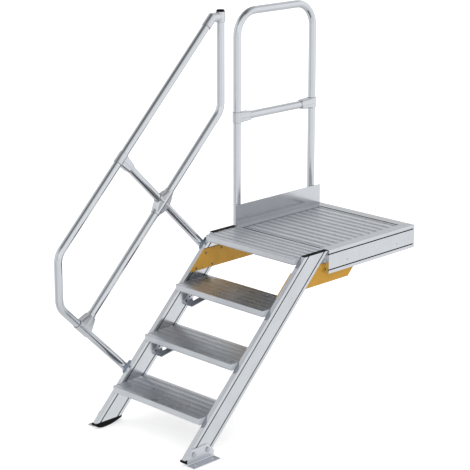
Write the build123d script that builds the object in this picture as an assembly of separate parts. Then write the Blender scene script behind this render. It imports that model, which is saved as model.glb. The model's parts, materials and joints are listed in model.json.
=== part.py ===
"""Platform stairs in aluminium: three treads and a top step lead up to a small platform.

Millimetres. X runs to the right for someone climbing, Y along the climb and Z up.
The origin is the middle of the platform frame's rear face, which is bolted to a wall
or a machine. The stair rises at 45 degrees, with a handrail and a guardrail on its left.
"""
from build123d import *
import math
import os

# Driving dimensions
CLEAR_WIDTH = 600.0
RISE = 212.0
GOING = 212.0
PLATFORM_HEIGHT = 834.0
FRAME_HEIGHT = 120.0
FRAME_LENGTH = 664.0
STEP_DEPTH = 223.0
STEP_HEIGHT = 34.0
NOSING = 53.0
TREAD_COUNT = 3
TUBE = 40.0
TUBE_WALL = 2.0

# Slotted section of the stringers and of the frame's sides
STRINGER_DEPTH = 118.0
BAR_WIDTH = 26.0
SLOT_INSET = 20.0
SLOT_WIDTH = 6.0
SLOT_LIP = 2.5
SLOT_DEPTH = 7.0
SLOT_ROOM = 11.0
CAP_THICK = 3.0
FOOT_HEIGHT = 30.0
FOOT_LIP = 8.0

# Platform frame and planks
END_PLATE = 3.0
REAR_PLATE = 10.0
LIP_WIDTH = 57.0
LIP_THICK = 4.0
LEDGE_WIDTH = 71.0
FLANGE_THICK = 5.0
BEAM_WIDTH = 26.0
BEAM_HEIGHT = 28.0
PLANK_COUNT = 4
PLANK_DEPTH = 150.0
PLANK_HEIGHT = 28.0
PLANK_BAND = 50.0
JOINT_GAP = 1.0
TOE_BOARD_HEIGHT = 102.0
TOE_BOARD_LAP = 20.0
TOE_BOARD_THICK = 5.0

# Ribs on the surfaces that are walked on
TREAD_BAND = 40.0
RIB_HEIGHT = 1.2
RIB_WIDTH = 3.0
RIB_PITCH = 6.0
RIB_COUNT = 4
SKIN = 3.0
WALL = 2.5
NOSING_BOX = 30.0
REAR_BOX = 20.0
STEP_WEBS = (75.0, 150.0)
STEP_FOOT = 8.0
PLANK_FOOT = 16.0

# Gussets and brackets
GUSSET_THICK = 5.0
GUSSET_TOP = 70.0
GUSSET_BOTTOM = 172.0
GUSSET_LENGTH = 520.0
BRACKET_THICK = 5.0
BRACE_FRONT = 68.0
BRACE_REAR = 112.0
BRACE_LOW = -75.0
BRACE_HIGH = -27.0
BRACE_TOE = 34.0
BRACE_STRAP = 43.0
BRACE_SLOPE = 1.1
BRACE_SEAT = 28.0
NOTCH_LOW = 32.0
NOTCH_HIGH = 50.0
FLOOR_PLATE_AHEAD = 103.0
FLOOR_PLATE_LENGTH = 170.0
FLOOR_PLATE_HEIGHT = 75.0
FLOOR_FLANGE = 50.0
ANCHOR_HOLE = 11.0
ANCHOR_SPACING = 110.0
ANCHOR_OUT = 28.0

# Guardrail beside the platform
GUARD_HEIGHT = 1110.0
GUARD_FRONT = 618.0
GUARD_REAR = 54.0
GUARD_BEND = 125.0
GUARD_RAIL_HEIGHT = 556.0

# Handrail beside the treads, measured up from the pitch line of the nosings
HANDRAIL_RISE = 983.5
KNEE_RAIL_RISE = 457.0
RAIL_BEND = 90.0
TOP_POST_SETBACK = 734.5
LOW_POST_AHEAD = 277.5
LOW_POST_PLACE = 176.0
MID_POST_PLACE = 1229.0
TUBE_PAST_CLAMP = 22.0
OPEN_BORE = 60.0

# Cast fittings on the rails
SLEEVE = 47.0
CUP = 45.0
CHEEK = 43.0
CHAMFER = 5.0
SOCKET_GAP = 2.0
CROSS_LENGTH = 80.0
CROSS_WIDTH = 37.0
CLAMP_PLATE = 5.0
CLAMP_ALONG = 74.0
CLAMP_ACROSS = 104.0
CLAMP_REARWARD = 16.0
CLAMP_STRAP = 4.0
CLAMP_FOOT = 17.0
CLAMP_WIDTH = 34.0
ELBOW_LOW = 1055.0
ELBOW_HIGH = 1106.0
PLUG_THICK = 9.0

# Places worked out from them
TOP = FRAME_HEIGHT / 2
GROUND = TOP - PLATFORM_HEIGHT
INNER = CLEAR_WIDTH / 2
OUTER = INNER + BAR_WIDTH
TUBE_X = -(OUTER + TOE_BOARD_THICK + TUBE / 2)
TOP_STEP_FRONT = -(FRAME_LENGTH + 4.0 + STEP_DEPTH)
FIRST_FRONT = TOP_STEP_FRONT - TREAD_COUNT * GOING
FIRST_TOP = TOP - TREAD_COUNT * RISE
STRINGER_RUN = STRINGER_DEPTH * math.sqrt(2)
STRINGER_TOP = TOP + 1.0


def stringer_front(z):
    """Y of the stringers' front edge at a height."""
    return TOP_STEP_FRONT + NOSING + (z - TOP)


def pitch_height(y):
    """Height of the line through the tread fronts at a place along the climb."""
    return FIRST_TOP + (y - FIRST_FRONT)


def slab(x0, x1, y0, y1, z0, z1):
    """A plain block between two corners."""
    return Pos((x0 + x1) / 2, (y0 + y1) / 2, (z0 + z1) / 2) * Box(x1 - x0, y1 - y0, z1 - z0)


def flat(x0, x1, y0, y1):
    """A plain rectangle between two corners."""
    return Pos((x0 + x1) / 2, (y0 + y1) / 2) * Rectangle(x1 - x0, y1 - y0)


def side_of(right_solid, side):
    """The right-hand piece itself, or its mirror image for the left side."""
    return right_solid if side == "right" else mirror(right_solid, about=Plane.YZ)


def bar_outline(depth):
    """Outline of the slotted section: two slots with undercut rooms along each broad side."""
    outline = fillet(Rectangle(BAR_WIDTH, depth).vertices(), 2)
    room_depth = SLOT_DEPTH - SLOT_LIP
    for u in (-1, 1):
        for v in (-1, 1):
            height = v * (depth / 2 - SLOT_INSET)
            neck = Rectangle(2 * SLOT_DEPTH, SLOT_WIDTH)
            room = Rectangle(room_depth, SLOT_ROOM)
            outline -= Pos(u * BAR_WIDTH / 2, height) * neck
            outline -= Pos(u * (BAR_WIDTH / 2 - SLOT_LIP - room_depth / 2), height) * room
    return outline


def bar_section(depth):
    """The slotted section with its hollow, whose wall follows round the slots."""
    hollow = Rectangle(BAR_WIDTH - 2 * WALL, depth - 2 * WALL)
    for u in (-1, 1):
        for v in (-1, 1):
            height = v * (depth / 2 - SLOT_INSET)
            wall = Rectangle(2 * (SLOT_DEPTH + WALL), SLOT_ROOM + 2 * WALL)
            hollow -= Pos(u * BAR_WIDTH / 2, height) * wall
    return bar_outline(depth) - hollow


def stringer():
    """Right stringer, cut level at the top and at the foot."""
    middle = Vector(
        (INNER + OUTER) / 2,
        stringer_front(0) + STRINGER_RUN / 2,
        0,
    )
    plane = Plane(origin=middle, x_dir=(1, 0, 0), z_dir=(0, 1, 1))
    bar = extrude(plane * bar_section(STRINGER_DEPTH), amount=PLATFORM_HEIGHT * 1.6, both=True)
    keep = slab(0, 2 * OUTER, -3000, 500, GROUND + FOOT_HEIGHT, STRINGER_TOP)
    return bar & keep


def stringer_cap():
    """Right plastic cap on the level cut at the top of the stringer."""
    front = stringer_front(STRINGER_TOP)
    cap = slab(
        INNER,
        OUTER,
        front - 1,
        front + STRINGER_RUN,
        STRINGER_TOP,
        STRINGER_TOP + CAP_THICK,
    )
    return chamfer(cap.edges().group_by(Axis.Z)[-1], 1)


def stringer_foot():
    """Right rubber foot under the stringer, with a rounded belly that meets the floor."""
    level = GROUND + FOOT_HEIGHT
    front = stringer_front(level)
    rear = front + STRINGER_RUN
    lip = level - FOOT_LIP
    lowest = front + 50
    outline = Polyline((front - 6, lip), (front - 6, level), (rear, level), (rear, lip))
    outline += TangentArc((lowest, GROUND), (rear, lip), tangent=(1, 0))
    outline += TangentArc((lowest, GROUND), (front - 6, lip), tangent=(-1, 0))
    plane = Plane(origin=(INNER, 0, 0), x_dir=(0, 1, 0), z_dir=(1, 0, 0))
    return extrude(plane * make_face(outline), amount=BAR_WIDTH)


def ribs(start, bands, pitch):
    """Bands of fine ribs along a surface whose top is at zero, as one sketch."""
    first = start + (pitch - (RIB_COUNT - 1) * RIB_PITCH) / 2
    pieces = Sketch()
    for band in range(bands):
        for rib in range(RIB_COUNT):
            place = first + band * pitch + rib * RIB_PITCH
            pieces += Pos(place, -RIB_HEIGHT / 2) * Rectangle(RIB_WIDTH, RIB_HEIGHT)
    return pieces


def ribbed_skin(depth, start, bands, pitch):
    """Skin that is walked on: smooth bands at full height between the ribbed ones."""
    skin = flat(0, depth, -RIB_HEIGHT - SKIN, 0)
    ribbed = RIB_COUNT * RIB_PITCH
    for band in range(bands):
        middle = start + (band + 0.5) * pitch
        skin -= flat(middle - ribbed / 2, middle + ribbed / 2, -RIB_HEIGHT, 0)
    return skin + ribs(start, bands, pitch)


def step_outline():
    """Closed outline of a step seen from its end, front edge at zero and top at zero."""
    outline = flat(0, STEP_DEPTH, -STEP_HEIGHT, -RIB_HEIGHT)
    lower = outline.vertices().group_by(Axis.Y)[0]
    return fillet(lower, 6)


def step_section():
    """Extruded step: ribbed skin, hollow nosing, rear box and two webs under the skin."""
    under = -RIB_HEIGHT - SKIN
    low = -STEP_HEIGHT + WALL
    nosing = flat(0, NOSING_BOX, -STEP_HEIGHT, under)
    nosing = fillet(nosing.vertices().group_by(Axis.Y)[0], 6)
    nosing -= flat(WALL, NOSING_BOX - WALL, low, under)
    rear_front = STEP_DEPTH - REAR_BOX
    rear = flat(rear_front, STEP_DEPTH, -STEP_HEIGHT, under)
    rear = fillet(rear.vertices().group_by(Axis.Y)[0], 3)
    rear -= flat(rear_front + WALL, STEP_DEPTH - WALL, low, under)
    section = ribbed_skin(STEP_DEPTH, 12.5, 5, TREAD_BAND) + nosing + rear
    for place in STEP_WEBS:
        section += flat(place, place + WALL, -STEP_HEIGHT, under)
        section += flat(place - STEP_FOOT, place + WALL + STEP_FOOT, -STEP_HEIGHT, low)
    return section


def step(front, top):
    """A step between the stringers, closed by a welded plate at each end."""
    plane = Plane(origin=(-INNER, front, top), x_dir=(0, 1, 0), z_dir=(1, 0, 0))
    solid = extrude(plane * step_section(), amount=CLEAR_WIDTH)
    for x in (-INNER, INNER - END_PLATE):
        ends = Plane(origin=(x, front, top), x_dir=(0, 1, 0), z_dir=(1, 0, 0))
        solid += extrude(ends * step_outline(), amount=END_PLATE)
    return solid


def tread_brace(front, top):
    """Right brace: a leg on the stringer's inner face, a strap up to the tread and its seat."""
    edge = front + NOSING
    leg_plane = Plane(origin=(INNER, edge, top), x_dir=(0, 1, -1), z_dir=(-1, 0, 0))
    leg = fillet(Rectangle(BRACE_REAR - BRACE_FRONT, BRACE_HIGH - BRACE_LOW).vertices(), 4)
    leg = Pos((BRACE_FRONT + BRACE_REAR) / 2, -(BRACE_HIGH + BRACE_LOW) / 2) * leg
    solid = extrude(leg_plane * leg, amount=BRACKET_THICK)
    web_back = BRACE_REAR - BRACKET_THICK
    shift = web_back / math.sqrt(2)
    web_plane = Plane(
        origin=(INNER, edge + shift, top - shift),
        x_dir=(-1, 0, 0),
        z_dir=(0, 1, -1),
    )
    under = web_back - STEP_HEIGHT * math.sqrt(2)
    reach = BRACE_TOE + (under - BRACE_LOW) / BRACE_SLOPE
    web = make_face(Polyline(
        (0, BRACE_LOW),
        (BRACE_TOE, BRACE_LOW),
        (reach, under),
        (reach - BRACE_STRAP, under),
        (BRACE_TOE + NOTCH_LOW / BRACE_SLOPE - BRACE_STRAP, BRACE_LOW + NOTCH_LOW),
        (0, BRACE_LOW + NOTCH_HIGH),
        close=True,
    ))
    solid += extrude(web_plane * web, amount=BRACKET_THICK)
    meeting = edge + web_back * math.sqrt(2) - STEP_HEIGHT
    level = top - STEP_HEIGHT
    seat = slab(
        INNER - reach,
        INNER - reach + BRACE_STRAP,
        meeting - BRACE_SEAT,
        meeting + 2,
        level - 4,
        level,
    )
    return solid + seat


def side_frame():
    """Right side of the platform frame: slotted bar with an end plate, a lip and a ledge."""
    front = -FRAME_LENGTH
    middle = (INNER + OUTER) / 2
    plane = Plane(origin=(middle, front, 0), x_dir=(1, 0, 0), z_dir=(0, -1, 0))
    body = extrude(plane * bar_section(FRAME_HEIGHT), amount=REAR_PLATE - FRAME_LENGTH)
    body += extrude(plane * bar_outline(FRAME_HEIGHT), amount=-END_PLATE)
    lip = slab(OUTER - LIP_WIDTH, INNER + 4, front, -LIP_WIDTH - 2, TOP - LIP_THICK, TOP)
    ledge_top = TOP - PLANK_HEIGHT
    ledge = slab(OUTER - LEDGE_WIDTH, INNER + 1, front, -82, ledge_top - LIP_THICK, ledge_top)
    return body + lip + ledge


def rear_frame():
    """Rear of the platform frame: its plate is the face that is bolted to the wall."""
    web = slab(-OUTER, OUTER, -REAR_PLATE, 0, -TOP, TOP)
    reach = INNER - JOINT_GAP / 2
    lip = slab(-reach, reach, -LIP_WIDTH - 1, -REAR_PLATE, TOP - LIP_THICK, TOP)
    ledge_top = TOP - PLANK_HEIGHT
    ledge = slab(-reach, reach, -81, -REAR_PLATE, ledge_top - LIP_THICK, ledge_top)
    foot = slab(-reach, reach, -BAR_WIDTH, -REAR_PLATE, -TOP, -TOP + FLANGE_THICK)
    return web + lip + ledge + foot


def front_beam():
    """Small box beam that carries the front edge of the first plank."""
    high = TOP - PLANK_HEIGHT - LIP_THICK
    low = high - BEAM_HEIGHT
    front = -FRAME_LENGTH
    rear = front + BEAM_WIDTH
    outer = slab(-INNER, INNER, front, rear, low, high)
    inner = slab(-INNER, INNER, front + WALL, rear - WALL, low + WALL, high - WALL)
    reach = OUTER - LEDGE_WIDTH - 1
    pad = slab(-reach, reach, front, rear, high, high + LIP_THICK)
    return outer - inner + pad


def plank(index):
    """One ribbed plank across the platform, resting on the ledges of the side frames."""
    front = -FRAME_LENGTH + index * PLANK_DEPTH
    depth = PLANK_DEPTH - JOINT_GAP
    half = OUTER - LIP_WIDTH - JOINT_GAP
    section = ribbed_skin(depth, 0, 3, PLANK_BAND)
    for place in (0, (depth - WALL) / 2, depth - WALL):
        section += flat(place, place + WALL, -PLANK_HEIGHT, -RIB_HEIGHT - SKIN)
    for place in (0, (depth - PLANK_FOOT) / 2, depth - PLANK_FOOT):
        section += flat(place, place + PLANK_FOOT, -PLANK_HEIGHT, -PLANK_HEIGHT + WALL)
    plane = Plane(origin=(-half, front, TOP), x_dir=(0, 1, 0), z_dir=(1, 0, 0))
    return extrude(plane * section, amount=2 * half)


def toe_board():
    """Upright board along the left edge, between the guardrail legs and the platform."""
    back = -(OUTER + TOE_BOARD_THICK)
    board = slab(back, -OUTER, -654, -4, TOP - TOE_BOARD_LAP, TOP + TOE_BOARD_HEIGHT)
    return fillet(board.edges().filter_by(Axis.X), 2)


def gusset():
    """Right coated plate that joins the stringer to the platform frame, its ends sloped alike."""
    low = TOP - GUSSET_BOTTOM
    high = TOP - GUSSET_TOP
    outline = make_face(Polyline(
        (stringer_front(low), low),
        (stringer_front(high), high),
        (stringer_front(high) + GUSSET_LENGTH, high),
        (stringer_front(low) + GUSSET_LENGTH, low),
        close=True,
    ))
    outline = fillet(outline.vertices(), 4)
    plane = Plane(origin=(INNER - GUSSET_THICK, 0, 0), x_dir=(0, 1, 0), z_dir=(1, 0, 0))
    return extrude(plane * outline, amount=GUSSET_THICK)


def floor_bracket():
    """Right bent plate that bolts the stringer to the floor."""
    front = FIRST_FRONT - FLOOR_PLATE_AHEAD
    rear = front + FLOOR_PLATE_LENGTH
    angle = make_face(Polyline(
        (OUTER, GROUND),
        (OUTER + FLOOR_FLANGE, GROUND),
        (OUTER + FLOOR_FLANGE, GROUND + BRACKET_THICK),
        (OUTER + BRACKET_THICK, GROUND + BRACKET_THICK),
        (OUTER + BRACKET_THICK, GROUND + FLOOR_PLATE_HEIGHT),
        (OUTER, GROUND + FLOOR_PLATE_HEIGHT),
        close=True,
    ))
    bend = angle.vertices().sort_by_distance((OUTER + BRACKET_THICK, GROUND + BRACKET_THICK))[0]
    angle = fillet(bend, 4)
    outer_bend = angle.vertices().sort_by_distance((OUTER, GROUND))[0]
    angle = fillet(outer_bend, 7)
    plane = Plane(origin=(0, rear, 0), x_dir=(1, 0, 0), z_dir=(0, -1, 0))
    plate = extrude(plane * angle, amount=FLOOR_PLATE_LENGTH)
    upright = make_face(Polyline(
        (front - 1, GROUND - 1),
        (front - 1, GROUND + 22),
        (front + 34, GROUND + FLOOR_PLATE_HEIGHT + 1),
        (rear - 42, GROUND + FLOOR_PLATE_HEIGHT + 1),
        (rear + 1, GROUND + 34),
        (rear + 1, GROUND - 1),
        close=True,
    ))
    side = Plane(origin=(OUTER - 1, 0, 0), x_dir=(0, 1, 0), z_dir=(1, 0, 0))
    plate &= extrude(side * upright, amount=FLOOR_FLANGE + 2)
    middle = (front + rear) / 2
    for shift in (-ANCHOR_SPACING / 2, ANCHOR_SPACING / 2):
        hole = Cylinder(ANCHOR_HOLE / 2, 4 * BRACKET_THICK)
        plate -= Pos(OUTER + ANCHOR_OUT, middle + shift, GROUND) * hole
    return plate


def tube(*points, radius=RAIL_BEND):
    """A bent bar of the rail size along points that share one upright plane."""
    if len(points) == 2:
        path = Wire(Line(*points).edges())
    else:
        path = Wire(FilletPolyline(*points, radius=radius).edges())
    start = Plane(origin=path @ 0, z_dir=path % 0)
    return sweep(start * Circle(TUBE / 2), path=path)


def rod(start, end, diameter):
    """A round bar from one point to another."""
    start = Vector(*start)
    axis = Vector(*end) - start
    return extrude(Plane(origin=start, z_dir=axis) * Circle(diameter / 2), amount=axis.length)


def rail_point(y, z):
    """A point in the upright plane of the rails."""
    return (TUBE_X, y, z)


def along(point, direction, distance):
    """A point moved in the plane of the rails, with direction as (y, z)."""
    length = math.hypot(*direction)
    return rail_point(
        point[1] + distance * direction[0] / length,
        point[2] + distance * direction[1] / length,
    )


def open_end(bar, end, inward):
    """A bar whose end shows the tube's wall, bored a short way in."""
    return bar - rod(end, along(end, inward, OPEN_BORE), TUBE - 2 * TUBE_WALL)


UP = (0, 1)
UP_STAIR = (1, 1)
DOWN_POST = (1, -1)
UP_POST = (-1, 1)


def knee_rail_at(y):
    """Centre of the knee rail at a place along the climb."""
    return rail_point(y, pitch_height(y) + KNEE_RAIL_RISE)


def post_crossing(place, rise):
    """Where a post square to the pitch meets a line parallel to the pitch."""
    shift = (place - rise) / 2
    return rail_point(FIRST_FRONT + shift, FIRST_TOP + rise + shift)


TOP_TUBE_Y = -TOP_POST_SETBACK
LOW_TUBE_Y = FIRST_FRONT - LOW_POST_AHEAD
STRINGER_LINE = -NOSING - STRINGER_RUN / 2
HANDRAIL_TEE = post_crossing(MID_POST_PLACE, HANDRAIL_RISE)
KNEE_CROSS = post_crossing(MID_POST_PLACE, KNEE_RAIL_RISE)
LOW_TEE = post_crossing(LOW_POST_PLACE, KNEE_RAIL_RISE)
MID_FOOT = post_crossing(MID_POST_PLACE, STRINGER_LINE)
LOW_FOOT = post_crossing(LOW_POST_PLACE, STRINGER_LINE)
ELBOW_MIDDLE = rail_point(TOP_TUBE_Y, TOP + (ELBOW_LOW + ELBOW_HIGH) / 2)
ELBOW_KNEE = rail_point(
    FIRST_FRONT + (ELBOW_MIDDLE[2] - FIRST_TOP - HANDRAIL_RISE),
    ELBOW_MIDDLE[2],
)
SOCKET_END = along(ELBOW_KNEE, UP_STAIR, -57)


def guard_hoop():
    """Guardrail hoop: two legs outside the platform joined by a bent top."""
    low = -TOP + 6
    high = TOP + GUARD_HEIGHT - TUBE / 2
    feet = (rail_point(-GUARD_FRONT, low), rail_point(-GUARD_REAR, low))
    hoop = tube(
        feet[0],
        rail_point(-GUARD_FRONT, high),
        rail_point(-GUARD_REAR, high),
        feet[1],
        radius=GUARD_BEND,
    )
    for foot in feet:
        hoop = open_end(hoop, foot, UP)
    return hoop


def guard_rail():
    """Level rail between the two sleeves on the guardrail legs."""
    height = TOP + GUARD_RAIL_HEIGHT
    return tube(
        rail_point(-GUARD_FRONT + TUBE / 2 + SOCKET_GAP, height),
        rail_point(-GUARD_REAR - TUBE / 2 - SOCKET_GAP, height),
    )


def handrail():
    """Handrail tube: down the pitch, round the lower end and back as the lower post."""
    turn_high = rail_point(LOW_TUBE_Y, pitch_height(LOW_TUBE_Y) + HANDRAIL_RISE)
    turn_low = rail_point(LOW_TUBE_Y, FIRST_TOP + LOW_POST_PLACE + LOW_POST_AHEAD)
    foot = along(LOW_FOOT, DOWN_POST, TUBE_PAST_CLAMP)
    rail = tube(along(SOCKET_END, UP_STAIR, 30), turn_high, turn_low, foot)
    return open_end(rail, foot, UP_POST)


def knee_rail():
    """Knee rail tube: upright below the elbow, then down the pitch to the lower post."""
    turn = knee_rail_at(TOP_TUBE_Y)
    end = along(LOW_TEE, UP_STAIR, TUBE / 2 + SOCKET_GAP)
    return tube(rail_point(TOP_TUBE_Y, ELBOW_MIDDLE[2] - 4), turn, end)


def mid_post_upper():
    """Short post between the handrail and the knee rail."""
    start = along(HANDRAIL_TEE, DOWN_POST, TUBE / 2 + SOCKET_GAP)
    end = along(KNEE_CROSS, UP_POST, TUBE / 2 + SOCKET_GAP)
    return tube(start, end)


def mid_post_lower():
    """Post from the knee rail down to the stringer."""
    start = along(KNEE_CROSS, DOWN_POST, TUBE / 2 + SOCKET_GAP)
    foot = along(MID_FOOT, DOWN_POST, TUBE_PAST_CLAMP)
    return open_end(tube(start, foot), foot, UP_POST)


def elbow():
    """Fitting at the top: upright sleeve with a mitred arm that turns down the pitch."""
    low = rail_point(TOP_TUBE_Y, TOP + ELBOW_LOW)
    high = rail_point(TOP_TUBE_Y, TOP + ELBOW_HIGH)
    path = Wire(Polyline(ELBOW_MIDDLE, ELBOW_KNEE, SOCKET_END).edges())
    start = Plane(origin=path @ 0, z_dir=path % 0)
    arm = sweep(start * Circle(SLEEVE / 2), path=path, transition=Transition.RIGHT)
    fitting = rod(low, high, SLEEVE + 2) + arm
    fitting -= rod(along(low, UP, -20), rail_point(TOP_TUBE_Y, ELBOW_MIDDLE[2] - 4), TUBE)
    return fitting - rod(along(SOCKET_END, UP_STAIR, -10), along(SOCKET_END, UP_STAIR, 30), TUBE)


def elbow_plug():
    """Plastic plug on the top of the elbow."""
    high = rail_point(TOP_TUBE_Y, TOP + ELBOW_HIGH)
    plug = rod(high, along(high, UP, PLUG_THICK), TUBE + 1)
    return chamfer(plug.edges().group_by(Axis.Z)[-1], 2)


def cheeks(middle, direction, outline):
    """Flat-sided web of a fitting in the plane of the rails, its outline's x along direction."""
    plane = Plane(origin=middle, x_dir=(0, *direction), z_dir=(1, 0, 0))
    web = extrude(plane * outline, amount=CHEEK / 2, both=True)
    return chamfer(web.edges().filter_by(Axis.X, reverse=True), CHAMFER)


def bored(fitting, middle, sleeve_direction, sleeve_reach, branch_directions, branch_reach):
    """A fitting with its through bore and a socket along each of its branches."""
    away = (-sleeve_direction[0], -sleeve_direction[1])
    fitting -= rod(
        along(middle, away, sleeve_reach + 9),
        along(middle, sleeve_direction, sleeve_reach + 9),
        TUBE,
    )
    for direction in branch_directions:
        socket = along(middle, direction, TUBE / 2 + SOCKET_GAP)
        fitting -= rod(socket, along(middle, direction, branch_reach + 9), TUBE)
    return fitting


def tee(middle, sleeve_direction, branch_direction, sleeve_reach, branch_reach):
    """Sleeve round one tube with a flared branch that takes the end of another."""
    flare = make_face(Polyline(
        (0, -sleeve_reach),
        (TUBE / 2 - 2, -sleeve_reach),
        (branch_reach - 10, -CUP / 2),
        (branch_reach - 10, CUP / 2),
        (TUBE / 2 - 2, sleeve_reach),
        (0, sleeve_reach),
        close=True,
    ))
    away = (-sleeve_direction[0], -sleeve_direction[1])
    fitting = rod(
        along(middle, away, sleeve_reach),
        along(middle, sleeve_direction, sleeve_reach),
        SLEEVE,
    )
    fitting += cheeks(middle, branch_direction, flare)
    fitting += rod(middle, along(middle, branch_direction, branch_reach), CUP)
    return bored(
        fitting,
        middle,
        sleeve_direction,
        sleeve_reach,
        [branch_direction],
        branch_reach,
    )


def knee_cross():
    """Cross fitting where the middle post meets the knee rail, with a lens-shaped web."""
    reach = CROSS_LENGTH - 10
    fitting = rod(
        along(KNEE_CROSS, UP_STAIR, -reach),
        along(KNEE_CROSS, UP_STAIR, reach),
        SLEEVE,
    )
    lens = make_face(
        ThreePointArc((-CROSS_LENGTH, 0), (0, CROSS_WIDTH), (CROSS_LENGTH, 0))
        + ThreePointArc((CROSS_LENGTH, 0), (0, -CROSS_WIDTH), (-CROSS_LENGTH, 0))
    )
    fitting += cheeks(KNEE_CROSS, UP_STAIR, lens)
    cup_reach = CROSS_WIDTH + 8
    fitting += rod(
        along(KNEE_CROSS, DOWN_POST, -cup_reach),
        along(KNEE_CROSS, DOWN_POST, cup_reach),
        CUP,
    )
    return bored(fitting, KNEE_CROSS, UP_STAIR, CROSS_LENGTH, [DOWN_POST, UP_POST], cup_reach)


def guard_sleeve(y, toward):
    """Tee on a guardrail leg that takes the level rail."""
    middle = rail_point(y, TOP + GUARD_RAIL_HEIGHT)
    return tee(middle, UP, (toward, 0), 27, 95)


def post_clamp(foot):
    """Plate on the stringer's outer side with a strap round the foot of a post."""
    across = Plane(origin=(-OUTER, foot[1], foot[2]), x_dir=(0, 1, 1), z_dir=(-1, 0, 0))
    outline = fillet(Rectangle(CLAMP_ALONG, CLAMP_ACROSS).vertices(), 12)
    base = extrude(across * (Pos(0, -CLAMP_REARWARD) * outline), amount=CLAMP_PLATE)
    centre = Plane(origin=foot, x_dir=(0, 1, 1), z_dir=(0, -1, 1))
    ring = Circle(TUBE / 2 + CLAMP_STRAP) - Circle(TUBE / 2)
    strap = extrude(centre * ring, amount=CLAMP_WIDTH / 2, both=True)
    strap &= slab(TUBE_X - TUBE, TUBE_X, -3000, 0, GROUND, 2000)
    arms = Sketch()
    for turn in (-1, 1):
        leg = Rectangle(CLAMP_STRAP, TUBE / 2)
        arms += Pos(turn * (TUBE + CLAMP_STRAP) / 2, -TUBE / 4) * leg
        ear = Rectangle(CLAMP_FOOT, CLAMP_STRAP)
        arms += Pos(turn * (TUBE + CLAMP_FOOT) / 2, (CLAMP_STRAP - TUBE) / 2) * ear
    legs = extrude(centre * arms, amount=CLAMP_WIDTH / 2, both=True)
    return base + strap + legs


def export(name, shape):
    """Write one piece as a STEP file named after its node."""
    shape.label = name
    export_step(shape, f"parts/{name}.step")


os.makedirs("parts", exist_ok=True)
for side in ("right", "left"):
    export(f"{side}_stringer", side_of(stringer(), side))
    export(f"{side}_stringer_cap", side_of(stringer_cap(), side))
    export(f"{side}_stringer_foot", side_of(stringer_foot(), side))
    export(f"{side}_floor_bracket", side_of(floor_bracket(), side))
    export(f"{side}_gusset", side_of(gusset(), side))
    export(f"{side}_platform_frame", side_of(side_frame(), side))
    for number in range(1, TREAD_COUNT):
        brace = tread_brace(FIRST_FRONT + number * GOING, FIRST_TOP + number * RISE)
        export(f"tread_{number + 1}_{side}_bracket", side_of(brace, side))
for number in range(TREAD_COUNT):
    export(f"tread_{number + 1}", step(FIRST_FRONT + number * GOING, FIRST_TOP + number * RISE))
export("top_step", step(TOP_STEP_FRONT, TOP))
export("rear_platform_frame", rear_frame())
export("front_platform_beam", front_beam())
for number in range(PLANK_COUNT):
    export(f"platform_plank_{number + 1}", plank(number))
export("toe_board", toe_board())
export("guard_hoop", guard_hoop())
export("guard_rail", guard_rail())
export("front_guard_sleeve", guard_sleeve(-GUARD_FRONT, 1))
export("rear_guard_sleeve", guard_sleeve(-GUARD_REAR, -1))
export("handrail", handrail())
export("knee_rail", knee_rail())
export("mid_post_upper", mid_post_upper())
export("mid_post_lower", mid_post_lower())
export("handrail_elbow", elbow())
export("handrail_elbow_plug", elbow_plug())
export("handrail_tee", tee(HANDRAIL_TEE, UP_STAIR, DOWN_POST, 29, 88))
export("knee_rail_cross", knee_cross())
export("lower_post_tee", tee(LOW_TEE, DOWN_POST, UP_STAIR, 45, 85))
export("mid_post_clamp", post_clamp(MID_FOOT))
export("lower_post_clamp", post_clamp(LOW_FOOT))
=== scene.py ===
"""Looks of an aluminium stair with a small platform, a handrail and a guardrail.

Metres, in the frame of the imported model: X to the right of someone climbing, Y along the
climb, Z up, and the origin in the middle of the platform's rear face.
"""

from __future__ import annotations

import json
import logging
import math
from dataclasses import dataclass
from enum import Enum
from typing import Iterable, Sequence

import bmesh
import bpy
import numpy as np
from mathutils import Matrix, Vector

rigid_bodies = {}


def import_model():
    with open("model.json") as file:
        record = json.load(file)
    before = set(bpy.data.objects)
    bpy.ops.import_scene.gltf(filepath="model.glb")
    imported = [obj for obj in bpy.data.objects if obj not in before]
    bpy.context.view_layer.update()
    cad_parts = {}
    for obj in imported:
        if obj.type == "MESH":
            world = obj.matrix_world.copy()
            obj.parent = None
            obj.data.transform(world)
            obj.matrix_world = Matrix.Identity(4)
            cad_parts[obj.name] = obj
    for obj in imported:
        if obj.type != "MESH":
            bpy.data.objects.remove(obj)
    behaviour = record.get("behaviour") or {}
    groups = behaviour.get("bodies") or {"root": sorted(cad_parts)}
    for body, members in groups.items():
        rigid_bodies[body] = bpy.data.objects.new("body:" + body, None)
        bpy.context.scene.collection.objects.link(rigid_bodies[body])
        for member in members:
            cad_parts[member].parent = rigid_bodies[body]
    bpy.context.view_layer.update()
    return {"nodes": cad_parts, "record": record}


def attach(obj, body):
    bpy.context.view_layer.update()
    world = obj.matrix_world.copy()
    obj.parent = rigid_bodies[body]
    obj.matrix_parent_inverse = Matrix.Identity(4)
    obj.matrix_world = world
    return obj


LOG = logging.getLogger("platform_stairs")

Colour = tuple[float, float, float]
Point = tuple[float, float, float]
Surface = tuple[np.ndarray, np.ndarray]
Rings = tuple[np.ndarray, np.ndarray]
Node = bpy.types.Node
Socket = bpy.types.NodeSocket


# Sizes that the finishes, the fasteners and the floor are placed by


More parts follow.
